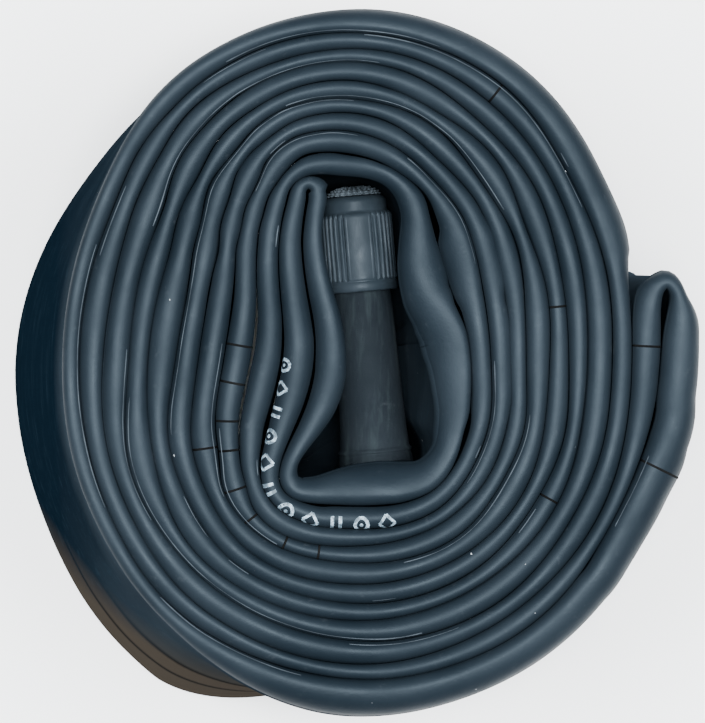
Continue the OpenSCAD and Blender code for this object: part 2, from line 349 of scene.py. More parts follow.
def bulb_halves(band):
    """Half thickness of the folded edge on the right and on the left of each station."""
    natural = natural_half(band)
    free_extra = np.interp(band.bearing, FREE_BEARINGS, FREE_EXTRA)
    sides = (
        (1, band.right, puff_to_valve(band, natural), 0.0),
        (-1, band.left, puff_away(band), gap_closing(band)),
    )
    halves = []
    for hand, room, puff, gain in sides:
        free = (room > FREE_ROOM) & (band.radius > FREE_RADIUS)
        wide = natural + np.where(free, free_extra, puff)
        tight = np.minimum.reduce([np.roll(room, k) for k in range(-2, 3)])
        half = soften(soften(np.minimum(tight, wide), 4), 4)
        half += np.where(free, 0.0, crowding(band, half, hand))
        halves.append(np.clip(half + gain, LEAST_HALF, MOST_HALF))
    return halves


# How far the rear edge stands out at the outer turns, and in under the stem
FLARE = 8.3
UNDER_STEM = 6.5
# How far the rear of each stretch round the valve closes in: left of it, the strand beyond
# that, right of it and over it, below it, and the strand outside the right one
TUCK_LEFT = 5.5
TUCK_BEYOND = -3.8
TUCK_RIGHT = 3.5
TUCK_BELOW = 4.5
TUCK_OUTSIDE = 2.6


def lean_out(band):
    """How far the rear edge stands out beyond the front one, as the outer turns flare."""
    outer = smooth_step(18, 41, band.radius)
    rise = smooth_step(114, 186, band.bearing)
    fall = 1 - smooth_step(240, 280, band.bearing)
    lower = 1.0 + 0.20 * smooth_step(200, 245, band.bearing)
    return FLARE * outer * rise * fall * lower


def lean_in(band):
    """How far the rear edge stands in under the stem, where the first strand slants inwards."""
    x, y = band.from_centre.T
    first = (band.travel > band.length - 60).astype(float)
    bend = smooth_step(-14.5, -9, y) * smooth_step(11, 3, y) * smooth_step(6, 10, x)
    return soften(UNDER_STEM * first * bend, 3)


def tuck_in(band):
    """How far the rear third of the strands round the valve closes in behind it."""
    back = band.length - band.travel
    left = smooth_step(6, 11, band.travel) * smooth_step(44, 38, band.travel)
    beyond = smooth_step(49, 56, band.travel) * smooth_step(86, 80, band.travel)
    over = smooth_step(44, 52, back) * smooth_step(70, 62, back)
    right = smooth_step(16, 22, back) * smooth_step(58, 48, back)
    outside = smooth_step(72, 78, back) * smooth_step(116, 104, back)
    below = np.maximum(smooth_step(12, 7, back), smooth_step(6, 3, band.travel))
    inner = TUCK_LEFT * left + TUCK_BEYOND * beyond + TUCK_RIGHT * np.maximum(over, right)
    return soften(inner + TUCK_BELOW * below + TUCK_OUTSIDE * outside, 3)


def edge_drop(band):
    """How far the front edge lies below the full width of the tube."""
    drop = 0.35 + 0.25 * wander(band.count, 34, 11) + 0.1 * wander(band.count, 9, 12)
    turn = (band.bearing - 185 + 180) % 360 - 180
    loose = np.exp(-((turn / 40) ** 2)) * smooth_step(30, 37, band.radius)
    return drop + 0.9 * loose


# The section from an edge down one side: angles round the bulb, then depths below it
FRONT_ANGLES = (14, 28, 42, 56, 70, 85)
REAR_ANGLES = (20, 42, 64, 85)
NECK_DEPTHS = (0.9, 2.2, 4.2, 7.5)
# A bulb's height over its half thickness
BULB_STRETCH = 1.05
# Largest half thickness of the rear edge
REAR_HALF = 1.3
# Share of the flare by which the front edge moves in
FRONT_SHARE = 0.18
# Heights between which the tuck fades out
TUCK_HEIGHTS = (1, 18)


def side_outline(half, angles):
    """(offset, depth below the edge) down one side, from next to the edge to the web."""
    outline = []
    for angle in angles:
        a = math.radians(angle)
        outline.append((half * math.sin(a), half * BULB_STRETCH * (1 - math.cos(a))))
    for depth in NECK_DEPTHS:
        t = smooth_step(0, NECK_DEPTHS[-1], depth)
        outline.append((half + (WEB_HALF - half) * t, half * BULB_STRETCH + depth))
    return outline


def section(right, left, top):
    """Closed outline (offset, height), from the front edge down the right side and back."""
    right_front = [(u, top - d) for u, d in side_outline(right, FRONT_ANGLES)]
    left_front = [(-u, top - d) for u, d in side_outline(left, FRONT_ANGLES)]
    right_rear = side_outline(min(right, REAR_HALF), REAR_ANGLES)
    left_rear = [(-u, d) for u, d in side_outline(min(left, REAR_HALF), REAR_ANGLES)]
    points = [(0, top)] + right_front + [(WEB_HALF, top / 2)] + right_rear[::-1]
    points += [(0, 0)] + left_rear + [(-WEB_HALF, top / 2)] + left_front[::-1]
    return points


class Skin:
    """The tube's surface, which the marks lie on."""

    def __init__(self, band):
        self.band = band
        self.right, self.left = bulb_halves(band)
        self.out = lean_out(band)
        self.inward = lean_in(band)
        self.tuck = tuck_in(band)
        self.top = WIDTH - edge_drop(band)

    def place(self, i, offset, height):
        """A point of the section in the row frame."""
        i = i % self.band.count
        out = self.out[i] * (1 - FRONT_SHARE - height / WIDTH)
        away = self.band.from_centre[i] / self.band.radius[i]
        offset += self.inward[i] * max(0, 1 - height / WIDTH) ** 0.65
        offset += self.tuck[i] * (1 - float(smooth_step(*TUCK_HEIGHTS, height)))
        flat = self.band.line[i] + self.band.side[i] * offset + away * out
        return (flat[0], flat[1], height)

    def near(self, travel):
        """The station at a length along the route."""
        travel = travel % self.band.length
        return int(np.searchsorted(self.band.travel, travel)) % self.band.count

    def flank(self, travel, down, lift=0.03):
        """A point on the valve's side of the tube, `down` mm round from the front edge."""
        spot = travel % self.band.length
        j = self.near(spot)
        i = (j - 1) % self.band.count
        low = self.band.travel[i]
        high = self.band.travel[j] if j else self.band.length
        t = (spot - low) / max(high - low, 1e-6)
        return self.flank_at(i, down, lift) * (1 - t) + self.flank_at(j, down, lift) * t

    def flank_at(self, i, down, lift):
        """The same at one station, `lift` mm off the surface."""
        half = self.right[i % self.band.count]
        top = self.top[i % self.band.count]
        quarter = half * math.pi / 2
        if down < quarter:
            a = down / half
            offset = (half + lift) * math.sin(a)
            depth = half * BULB_STRETCH - (half * BULB_STRETCH + lift) * math.cos(a)
        else:
            depth = half * BULB_STRETCH + (down - quarter)
            t = smooth_step(0, NECK_DEPTHS[-1], down - quarter)
            offset = half + (WEB_HALF - half) * t + lift
        return np.array(self.place(i, offset, top - depth))


def make_tube(skin, edge, wall):
    """The whole tube, with one material on its rounded edges and another, painted lighter as
    painted light for walls in shade, on its walls.
    """
    points = []
    for i in range(skin.band.count):
        outline = section(skin.right[i], skin.left[i], skin.top[i])
        points += [skin.place(i, u, h) for u, h in outline]
    columns = len(points) // skin.band.count
    faces = grid_faces(skin.band.count, columns, close_rows=True)
    obj = build("tube_skin", points, faces, edge)
    obj.data.materials.append(wall)
    for face in obj.data.polygons:
        column = face.index % columns
        front = min(column, columns - 1 - column)
        rear = abs(column + 0.5 - columns / 2)
        rounded = front < len(FRONT_ANGLES) - 1 or rear < len(REAR_ANGLES) - 1
        face.material_index = 0 if rounded else 1
    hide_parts("tube")
    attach(obj, "roll")


# ---- Marks on the tube ----


def ribbon(points, faces, path, width, closed=False):
    """Adds a flat stroke along a path of (travel, down) pairs, mapped later onto the skin."""
    start = len(points)
    n = len(path)
    for k in range(n):
        before = path[k - 1] if closed or k else path[k]
        after = path[(k + 1) % n] if closed or k < n - 1 else path[k]
        step = np.array(after) - np.array(before)
        step = step / max(np.linalg.norm(step), 1e-9)
        across = np.array([-step[1], step[0]]) * width / 2
        points.append(np.array(path[k]) + across)
        points.append(np.array(path[k]) - across)
    for k in range(n if closed else n - 1):
        a = start + 2 * k
        b = start + 2 * ((k + 1) % n)
        faces.append((a, b, b + 1, a + 1))


def circle_path(s, q, radius, count=14):
    """Points round a circle, made longer down the flank, as it is seen at a slant."""
    angles = [2 * math.pi * k / count for k in range(count)]
    return [(s + radius * math.cos(a), q + 1.25 * radius * math.sin(a)) for a in angles]


def line_path(a, b, count=6):
    """Points along a straight stroke."""
    return [tuple(np.array(a) + (np.array(b) - np.array(a)) * k / count) for k in range(count + 1)]


# The printed signs: their order and number, the row's pitch, how far round from the edge it
# starts and how far it climbs, and the stroke's width
SIGN_KINDS = ("ring", "diamond", "bars")
SIGN_COUNT = 11
SIGN_PITCH = 3.15
SIGN_DOWN = 1.95
SIGN_CLIMB = 1.15
STROKE = 0.42


def mark(points, faces, kind, s, q):
    """One plain printed sign, centred on (s, q)."""
    if kind == "ring":
        ribbon(points, faces, circle_path(s, q, 0.8), STROKE, closed=True)
        ribbon(points, faces, circle_path(s, q, 0.12, 8), 0.24, closed=True)
    if kind == "bars":
        for shift in (-0.5, 0.5):
            ribbon(points, faces, line_path((s + shift, q - 1.15), (s + shift, q + 1.15)), STROKE)
    if kind == "diamond":
        corners = [(s, q - 1.2), (s + 0.95, q), (s, q + 1.2), (s - 0.95, q)]
        for k in range(4):
            ribbon(points, faces, line_path(corners[k], corners[(k + 1) % 4]), 0.36)


def make_print(skin, material):
    """A row of worn plain signs on the flank of the second strand."""
    start = skin.band.travel[skin.band.station(-7.5, -0.8)]
    points, faces = [], []
    for k in range(SIGN_COUNT):
        down = SIGN_DOWN - SIGN_CLIMB * float(smooth_step(1.5, 4.5, k))
        mark(points, faces, SIGN_KINDS[k % len(SIGN_KINDS)], start + SIGN_PITCH * k, down)
    placed = [skin.flank(s, q) for s, q in points]
    obj = build("printed_signs", placed, faces, material)
    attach(obj, "roll")


# Where the mould's fin starts and ends round the front edge, in radians, its least and extra
# height, and how deep its foot sits
FLASH_ANGLES = (0.72, 0.80)
FLASH_HEIGHT = 0.06
FLASH_RAGGED = 0.13
FLASH_FOOT = 0.02


def make_flash(skin, material):
    """The thin ragged fin that the mould leaves along the valve's side of the front edge."""
    near, far = FLASH_ANGLES
    band = skin.band
    rag = 0.5 + 0.5 * wander(band.count, 5, 31)
    there = (wander(band.count, 40, 32) > 0.1) & (wander(band.count, 14, 33) > -0.35)
    there &= band.radius > 18
    points, faces = [], []
    for i in range(band.count):
        height = FLASH_HEIGHT + FLASH_RAGGED * rag[i]
        half = skin.right[i]
        for angle, lift in ((near, 0), (near, height), (far, height), (far, 0)):
            points.append(skin.flank_at(i, angle * half, lift - FLASH_FOOT))
    whole = there & np.roll(there, -1)
    for i in np.flatnonzero(whole):
        j = (i + 1) % band.count
        for k in range(4):
            m = (k + 1) % 4
            faces.append((4 * i + k, 4 * i + m, 4 * j + m, 4 * j + k))
        if not whole[i - 1]:
            faces.append((4 * i + 3, 4 * i + 2, 4 * i + 1, 4 * i))
        if not whole[j]:
            faces.append((4 * j, 4 * j + 1, 4 * j + 2, 4 * j + 3))
    obj = build("mould_flash", points, faces, material)
    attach(obj, "roll")


# Places of the moulded vent lines in the roll
VENT_PLACES = [
    (17.5, 34.1), (25.4, 6.8), (24.1, -17.4), (35.4, 2.0), (37.5, -13.4),
    (-15.6, 1.8), (-15.9, -2.8), (-16.1, -7.4), (-15.9, -11.0), (-15.6, -16.1),
    (-13.4, -19.9), (-9.3, -23.0), (-4.6, -24.3), (-19.0, -10.9),
]
# A vent line's half height and half width, and how far it reaches round the edge, in degrees
VENT_HEIGHT = 0.09
VENT_WIDTH = 0.16
VENT_REACH = 78


def make_vents(skin, material):
    """Thin moulded lines across the front edge."""
    points, faces = [], []
    sides = 6
    steps = 15
    for x, y in VENT_PLACES:
        i = skin.band.station(x, y)
        side = np.array([*skin.band.side[i], 0])
        along = np.array([*skin.band.along[i], 0])
        start = len(points)
        for k in range(steps):
            a = math.radians(-VENT_REACH + 2 * VENT_REACH * k / (steps - 1))
            half = skin.right[i] if a > 0 else skin.left[i]
            out = side * math.sin(a) + np.array([0, 0, math.cos(a)])
            height = skin.top[i] - half * BULB_STRETCH * (1 - math.cos(a))
            middle = np.array(skin.place(i, half * math.sin(a), height))
            for m in range(sides):
                b = 2 * math.pi * m / sides
                rise = out * VENT_HEIGHT * math.cos(b)
                points.append(middle + rise + along * VENT_WIDTH * math.sin(b))
        faces += [f[::-1] for f in grid_faces(steps, sides, start)]
        faces.append(tuple(start + m for m in range(sides)))
        faces.append(tuple(start + (steps - 1) * sides + m for m in range(sides - 1, -1, -1)))
    obj = build("vent_lines", points, faces, material)
    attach(obj, "roll")


# ---- The valve ----


def valve_matrix():
    """From the valve's own axis, +Z from the tube's face, to the row frame, in mm."""
    foot = ROLL_CENTRE + VALVE_FOOT
    place = Matrix.Translation((foot[0], foot[1], WIDTH / 2))
    lean = Matrix.Rotation(math.radians(VALVE_LEAN), 4, "Z")
    lay = Matrix.Rotation(math.radians(-90), 4, "X")
    return place @ lean @ lay


def to_row(points):
    """Points on the valve's own axis, moved to the row frame."""
    m = valve_matrix()
    return [tuple(m @ Vector(p)) for p in points]


def revolve(profile, sides, radius_at=None):
    """Rings of points round the valve's axis; radius_at changes a radius by angle and height."""
    points = []
    for r, h in profile:
        for k in range(sides):
            a = 2 * math.pi * k / sides
            rr = radius_at(r, h, a) if radius_at else r
            points.append((rr * math.cos(a), rr * math.sin(a), h))
    return points


# Radius and height round the stem's rubber: its foot, its outside and its tip
JACKET_PROFILE = [
    (1.6, 1.02), (4.2, 1.02), (4.85, 1.1), (4.9, 1.5), (4.88, 2.2), (4.8, 2.8), (4.7, 3.2),
    (4.62, 3.35), (4.8, 3.5), (4.82, 3.72), (4.6, 3.9), (4.5, 4.1), (4.44, 5.2), (4.35, 7.0),
    (4.27, 10.0), (4.15, 14.0), (4.05, 17.0), (3.95, 20.0), (3.9, 22.0), (3.86, 23.7),
    (3.8, 24.05), (3.8, 24.7), (2.95, 24.7),
]


def make_stem(material):
    """The rubber stem, a little uneven, with its rounded foot and moulded ring."""
    def uneven(r, h, a):
        wave = math.sin(2 * a + 0.4 * h) * 0.03 + math.sin(3 * a - 0.9 * h) * 0.015
        return r + wave * (1 if 3.2 < h < 23 else 0)

    sides = 64
    points = to_row(revolve(JACKET_PROFILE, sides, uneven))
    faces = grid_faces(len(JACKET_PROFILE), sides, close_rows=True)
    obj = build("stem_rubber_cover", points, faces, material)
    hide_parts("valve_stem_jacket")
    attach(obj, "roll")


# The pad's half width and half length, the heights of its rim and its swell, and its underside
PAD_ACROSS = 8.0
PAD_LENGTH = 21.0
PAD_RIM = 0.1
PAD_SWELL = 2.2
PAD_BOTTOM = -0.3


def make_mound(material):
    """The pad under the valve, which swells softly from the tube's edges to the stem's foot."""
    rows, columns = 56, 28
    points = []
    for layer in (0, 1):
        for i in range(rows):
            for j in range(columns):
                x = PAD_ACROSS * (2 * j / (columns - 1) - 1)
                y = PAD_LENGTH * (2 * i / (rows - 1) - 1)
                lengthwise = 1 - smooth_step(0.40, 1.05, abs(y) / PAD_LENGTH)
                crosswise = 1 - smooth_step(0.40, 1.0, abs(x) / PAD_ACROSS)
                high = PAD_RIM + PAD_SWELL * lengthwise * crosswise
                points.append((x, y, high if layer else PAD_BOTTOM))
    under = [f[::-1] for f in grid_faces(rows, columns, close_columns=False)]
    top = grid_faces(rows, columns, rows * columns, close_columns=False)
    edge = list(range(columns)) + [i * columns + columns - 1 for i in range(1, rows)]
    edge += [(rows - 1) * columns + j for j in range(columns - 2, -1, -1)]
    edge += [i * columns for i in range(rows - 2, 0, -1)]
    rim = [
        (a, b, b + rows * columns, a + rows * columns)
        for a, b in zip(edge, edge[1:] + edge[:1])
    ]
    obj = build("valve_pad", to_row(points), under + top + rim, material)
    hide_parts("valve_base_patch")
    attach(obj, "roll")


# Outer radius and height of the cap, from its rim up to the crown
CAP_PROFILE = [
    (3.95, 0.0), (4.5, 0.0), (4.68, 0.06), (4.78, 0.2), (4.8, 0.7), (4.78, 1.1), (4.7, 1.26),
    (4.66, 1.34), (4.75, 1.5), (4.82, 1.7), (4.82, 4.5), (4.8, 7.5), (4.78, 9.6), (4.7, 9.95),
    (4.5, 10.2), (4.28, 10.35), (4.22, 10.6), (4.22, 11.6), (4.15, 11.9), (4.0, 12.15),
    (3.75, 12.35), (3.45, 12.55),
]
# Radius and height of the bore and of the recess for the seal
BORE_PROFILE = [(3.9, 0.02), (3.9, 11.38), (3.68, 11.42), (3.68, 12.42)]
# The flutes: their number and depth, the depth and half width in degrees of the two plain
# panels, and the heights over which they begin and end
RIB_COUNT = 36
RIB_DEPTH = 0.42
PANEL_DEPTH = 0.05
PANEL_ANGLE = 17.5
FLUTES_BEGIN = (1.45, 1.8)
FLUTES_END = (9.7, 10.1)
# The crown's edge and rise, and its bosses: how many rows, how many in a row, and how high
CROWN_RADIUS = 3.45
CROWN_LOW = 12.45
CROWN_RISE = 1.25
BOSS_ROWS = 24
BOSSES_A_ROW = 6
BOSS_HEIGHT = 0.26


def fan(rings, sides, start):
    """Faces from the last ring to the one point after it."""
    last = start + (rings - 1) * sides
    return [(last + k, last + (k + 1) % sides, last + sides) for k in range(sides)]


def raised(profile):
    """A profile moved up from the cap's rim to its place on the valve."""
    return [(r, CAP_BOTTOM + z) for r, z in profile]


def fluted(r, h, a):
    """The cap's outer radius with its flutes, and with a plain panel front and back."""
    z = h - CAP_BOTTOM
    plain = abs(math.degrees(a) % 180 - 90) < PANEL_ANGLE
    fade = float(smooth_step(*FLUTES_BEGIN, z) * (1 - smooth_step(*FLUTES_END, z)))
    wave = 0.5 + 0.5 * math.cos(a * RIB_COUNT)
    flute = -RIB_DEPTH * (1 - wave) ** 3
    return r + (-PANEL_DEPTH if plain else flute) * fade


def make_cap(material, painted_lit_crown_material):
    """The fluted cap: flange, flutes with a plain panel front and back, shoulder and crown."""
    sides = RIB_COUNT * 12
    points = revolve(raised(CAP_PROFILE), sides, fluted)
    faces = grid_faces(len(CAP_PROFILE), sides)
    crown, crown_faces = cap_crown(sides, len(points))
    first = len(points) + len(crown)
    inside, inside_faces = cap_inside(sides, first)
    last = len(points) - sides
    join = [(last + k, last + (k + 1) % sides, len(points) + (k + 1) % sides, len(points) + k)
            for k in range(sides)]
    rim = [((k + 1) % sides, k, first + k, first + (k + 1) % sides) for k in range(sides)]
    every = to_row(points + crown + inside)
    obj = build("fluted_cap", every, faces + join + crown_faces + inside_faces + rim, material)
    # The crown takes the lighter copy of the plastic: painted light for a crown in shade.
    obj.data.materials.append(painted_lit_crown_material)
    bossed = len(faces) + len(join)
    for face in obj.data.polygons[bossed:bossed + len(crown_faces)]:
        face.material_index = 1
    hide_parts("valve_cap")
    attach(obj, "cap")


def cap_crown(sides, start):
    """The crown with radial rows of small bosses, closed in the middle."""
    rings = 30
    points = []
    for i in range(rings):
        t = (i + 1) / (rings + 1)
        climb = t * math.pi / 2
        r0 = CROWN_RADIUS * math.cos(climb)
        h0 = CROWN_LOW + CROWN_RISE * math.sin(climb)
        beads = 0.5 - 0.5 * math.cos(t * math.pi * 2 * BOSSES_A_ROW)
        edge = float(smooth_step(0.9, 1.6, r0) * smooth_step(0.0, 0.08, t))
        for k in range(sides):
            a = 2 * math.pi * k / sides
            rows = 0.5 + 0.5 * math.cos(a * BOSS_ROWS)
            boss = BOSS_HEIGHT * rows * beads * edge
            r = r0 + boss * math.cos(climb)
            lift = boss * math.sin(climb)
            points.append((r * math.cos(a), r * math.sin(a), CAP_BOTTOM + h0 + lift))
    points.append((0, 0, CAP_BOTTOM + CROWN_LOW + CROWN_RISE))
    return points, grid_faces(rings, sides, start) + fan(rings, sides, start)


def cap_inside(sides, start):
    """The bore and the recess for the seal, closed at the top."""
    points = revolve(raised(BORE_PROFILE), sides)
    points.append((0, 0, CAP_BOTTOM + BORE_PROFILE[-1][1]))
    rings = len(BORE_PROFILE)
    faces = grid_faces(rings, sides, start) + fan(rings, sides, start)
    return points, [f[::-1] for f in faces]


# The core's spring, between the foot and the cup, as in the part's source
SPRING_LOW = 15.0
SPRING_HIGH = 22.6
SPRING_RADIUS = 1.25
SPRING_TURNS = 7
WIRE_RADIUS = 0.18
SPRING_SLACK = 0.02


def make_spring(material):
    """The core's spring, with closed end turns."""
    sides, steps = 12, 30
    low = SPRING_LOW + WIRE_RADIUS + SPRING_SLACK
    high = SPRING_HIGH - WIRE_RADIUS - SPRING_SLACK
    closed = 2 * WIRE_RADIUS + 2 * SPRING_SLACK
    count = SPRING_TURNS * steps + 1
    points = []
    for i in range(count):
        turn = i / steps
        middle = np.interp(turn, (0, 1, SPRING_TURNS - 1, SPRING_TURNS),
                           (low, low + closed, high - closed, high))
        a = 2 * math.pi * turn
        for k in range(sides):
            b = 2 * math.pi * k / sides
            r = SPRING_RADIUS + WIRE_RADIUS * math.cos(b)
            points.append((r * math.cos(a), r * math.sin(a), middle + WIRE_RADIUS * math.sin(b)))
    faces = [f[::-1] for f in grid_faces(count, sides)]
    faces.append(tuple(range(sides)))
    faces.append(tuple((count - 1) * sides + k for k in range(sides - 1, -1, -1)))
    obj = build("core_coil", to_row(points), faces, material)
    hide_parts("core_spring")
    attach(obj, "roll")
    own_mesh(obj)


# ---- Materials ----

# The dark and the light of each material's slow drift
EDGE_SHADES = ((0.0042, 0.0070, 0.0100), (0.0090, 0.0130, 0.0172))
# The walls' shades are lighter than the edge's: painted light for walls that lie in shade.
WALL_SHADES_PAINTED_LIGHTER = ((0.0080, 0.0125, 0.0170), (0.0160, 0.0225, 0.0290))
STEM_SHADES = ((0.0080, 0.0112, 0.0145), (0.0165, 0.0210, 0.0255))
PAD_SHADES = ((0.0068, 0.0105, 0.0142), (0.0128, 0.0182, 0.0236))
# The fin's shades are pale: a painted highlight for the light the thin fin catches.
FLASH_PAINTED_HIGHLIGHT_SHADES = ((0.010, 0.015, 0.020), (0.048, 0.060, 0.072))
INK_SHADES = ((0.045, 0.070, 0.090), (0.28, 0.38, 0.46))
CAP_SHADES = ((0.0120, 0.0190, 0.0250), (0.0225, 0.0315, 0.0400))
# The crown's shades are lighter than the cap's: painted light for a crown in the strand's shade.
CROWN_PAINTED_LIGHT_SHADES = ((0.030, 0.040, 0.048), (0.090, 0.112, 0.132))
BRASS_SHADES = ((0.46, 0.32, 0.12), (0.74, 0.57, 0.26))
SEAL_SHADES = ((0.012, 0.012, 0.013), (0.032, 0.032, 0.034))
GASKET_SHADES = ((0.20, 0.02, 0.015), (0.36, 0.05, 0.035))
# Colours on the tube: pale specks, painted light on the walls at the right, a painted dark blue
# reflection on the left side, and painted sheen streaks over it
SPECK = (0.40, 0.42, 0.44)
WALL_PAINTED_LIGHT = (0.025, 0.035, 0.045)
PAINTED_BLUE_REFLECTION = (0.0022, 0.0056, 0.0096)
PAINTED_SHEEN_STREAK = (0.016, 0.032, 0.046)
# A painted brown reflection on the flank low down and high up, and painted shade lines along it
PAINTED_BROWN_REFLECTION = (0.034, 0.028, 0.022)
UPPER_PAINTED_BROWN_REFLECTION = (0.024, 0.023, 0.021)
PAINTED_CREASE_SHADE = (0.007, 0.007, 0.007)
# Wear on the stem and on the cap
STEM_WEAR = (0.022, 0.031, 0.034)
CAP_WEAR = (0.035, 0.046, 0.056)

SHADER_INPUTS = {
    "colour": "Base Color", "rough": "Roughness", "gloss": "Specular IOR Level",
    "tint": "Specular Tint", "metal": "Metallic",
}


def new_material(name):
    """A material, its node tree and its shader."""
    material = bpy.data.materials.new(name)
    material.use_nodes = True
    tree = material.node_tree
    shader = tree.nodes["Principled BSDF"]
    return material, tree, shader


def feed(tree, socket, value):
    """Gives a socket an output, a colour or a number."""
    if isinstance(value, bpy.types.NodeSocket):
        tree.links.new(value, socket)
    elif isinstance(value, tuple):
        socket.default_value = (*value, 1)
    else:
        socket.default_value = value


def dress(tree, shader, **values):
    """Sets the shader's own inputs."""
    for key, value in values.items():
        feed(tree, shader.inputs[SHADER_INPUTS[key]], value)


def add(tree, kind, **values):
    """A node with its inputs or properties set by name."""
    node = tree.nodes.new(kind)
    for key, value in values.items():
        if key in node.inputs:
            node.inputs[key].default_value = value
        else:
            setattr(node, key, value)
    return node


def place_coords(tree, scale=(1, 1, 1)):
    """Places in the row frame, in metres, scaled along each axis."""
    coords = tree.nodes.new("ShaderNodeTexCoord")
    mapping = tree.nodes.new("ShaderNodeMapping")
    mapping.inputs["Scale"].default_value = scale
    tree.links.new(coords.outputs["Object"], mapping.inputs["Vector"])
    return mapping.outputs["Vector"]


def noise(tree, vector, scale, detail=4, rough=0.55):
    """Noise from 0 to 1."""
    node = add(tree, "ShaderNodeTexNoise", Scale=scale, Detail=detail, Roughness=rough)
    tree.links.new(vector, node.inputs["Vector"])
    return node.outputs["Fac"]


def ramp(tree, value, stops):
    """A colour ramp from (position, colour) stops; a colour may be one grey number."""
    node = tree.nodes.new("ShaderNodeValToRGB")
    elements = node.color_ramp.elements
    while len(elements) < len(stops):
        elements.new(0.5)
    for element, (position, colour) in zip(elements, stops):
        element.position = position
        shade = colour if isinstance(colour, tuple) else (colour,) * 3
        element.color = (*shade, 1)
    tree.links.new(value, node.inputs["Fac"])
    return node.outputs["Color"]


def mottle(tree, vector, scale, detail, dark, light, low=0.3, high=0.7):
    """A noise that runs from dark to light."""
    return ramp(tree, noise(tree, vector, scale, detail), [(low, dark), (high, light)])


def mix(tree, factor, a, b):
    """Mixes two colours; each may be an output or a tuple."""
    node = add(tree, "ShaderNodeMix", data_type="RGBA")
    for socket, value in ((node.inputs[0], factor), (node.inputs[6], a), (node.inputs[7], b)):
        feed(tree, socket, value)
    return node.outputs[2]


def bump(tree, shader, height, strength, distance):
    """Fine relief of the shader's surface."""
    node = add(tree, "ShaderNodeBump", Strength=strength, Distance=distance)
    tree.links.new(height, node.inputs["Height"])
    tree.links.new(node.outputs["Normal"], shader.inputs["Normal"])


def axis_place(tree, axis):
    """The place along one axis of the row frame, in metres."""
    coords = tree.nodes.new("ShaderNodeTexCoord")
    split = tree.nodes.new("ShaderNodeSeparateXYZ")
    tree.links.new(coords.outputs["Object"], split.inputs["Vector"])
    return split.outputs[axis]


def share(tree, value, low, high):
    """0 where the value is `low` to 1 where it is `high`."""
    node = tree.nodes.new("ShaderNodeMapRange")
    node.inputs["From Min"].default_value = low
    node.inputs["From Max"].default_value = high
    tree.links.new(value, node.inputs["Value"])
    return node.outputs["Result"]


def work_out(tree, operation, *values):
    """One step of arithmetic on outputs and numbers."""
    node = add(tree, "ShaderNodeMath", operation=operation)
    for socket, value in zip(node.inputs, values):
        feed(tree, socket, value)
    return node.outputs[0]


def rubber_material(name, dark, light, dust=0.3, rough=(0.42, 0.58), grain=0.25):
    """Talc-dusted rubber: slow colour drift, fine grain, and a few pale specks."""
    material, tree, shader = new_material(name)
    vector = place_coords(tree)
    drift = mottle(tree, vector, 55, 5, dark, light, 0.35, 0.68)
    fine = noise(tree, vector, 1500, 3, 0.7)
    talc = ramp(tree, noise(tree, vector, 420, 4, 0.75), [(0.62, 0.0), (0.85, dust)])
    dusty = mix(tree, talc, drift, tuple(0.03 + 1.8 * c for c in light))
    specks = ramp(tree, noise(tree, vector, 1500, 1, 0.4), [(0.835, 0.0), (0.86, 1.0)])
    sheen = mottle(tree, vector, 130, 4, *rough)
    speckled = mix(tree, specks, dusty, SPECK)
    dress(tree, shader, colour=speckled, rough=sheen, gloss=0.13, tint=(0.72, 0.88, 1.0))
    bump(tree, shader, fine, grain, 0.00012)
    return material, tree, shader


def tube_material(name, gloss, dark, light):
    """The tube's rubber, with a painted dark blue reflection on the left and a painted brown
    reflection on its flank at the lower side; the walls also get painted light towards the right.
    """
    material, tree, shader = rubber_material(name, dark, light)
    colour = shader.inputs["Base Color"].links[0].from_socket
    x = axis_place(tree, "X")
    # Painted light: the walls grow lighter towards the right.
    right = share(tree, x, 0.008, 0.040)
    painted_lit = mix(tree, right, colour, WALL_PAINTED_LIGHT) if gloss == 0 else colour
    # Painted reflection: the left side turns dark blue.
    painted_blue = mix(tree, share(tree, x, -0.026, -0.040), painted_lit, PAINTED_BLUE_REFLECTION)
    # Painted sheen: paler streaks over the left side's painted reflection.
    streaks = noise(tree, place_coords(tree, (9, 0.5, 9)), 120, 4, 0.7)
    sheen_streaked = mix(tree, ramp(tree, streaks, [(0.54, 0.0), (0.76, 0.35)]), painted_blue, PAINTED_SHEEN_STREAK)
    # Painted reflection: the lower flank turns brown, with painted shade lines.
    low = work_out(tree, "MULTIPLY", low_place(tree), share(tree, x, 0.016, -0.010))
    rear = mix(tree, low, sheen_streaked, painted_brown_reflection(tree))
    deep = share(tree, axis_place(tree, "Z"), 0.036, 0.044)
    dress(tree, shader, colour=mix(tree, deep, rear, colour), gloss=gloss)
    return material


def low_place(tree):
    """0 to 1 towards the lower side, where the painted brown reflection lies; it starts further
    round at the front edge.
    """
    z, y = axis_place(tree, "Z"), axis_place(tree, "Y")
    return share(tree, work_out(tree, "MULTIPLY_ADD", z, 0.42, y), -0.019, -0.031)


def painted_brown_reflection(tree):
    """A painted brown reflection on the side wall, with a few painted shade lines along it."""
    wobble = noise(tree, place_coords(tree), 40, 2)
    shifted = work_out(tree, "MULTIPLY_ADD", wobble, 0.004, axis_place(tree, "Z"))
    stops = [(0.0, PAINTED_BROWN_REFLECTION), (0.24, PAINTED_BROWN_REFLECTION), (0.27, PAINTED_CREASE_SHADE), (0.31, PAINTED_BROWN_REFLECTION), (0.50, PAINTED_BROWN_REFLECTION),
             (0.54, PAINTED_CREASE_SHADE), (0.59, UPPER_PAINTED_BROWN_REFLECTION), (0.9, UPPER_PAINTED_BROWN_REFLECTION)]
    return ramp(tree, share(tree, shifted, 0, WIDTH * MM), stops)


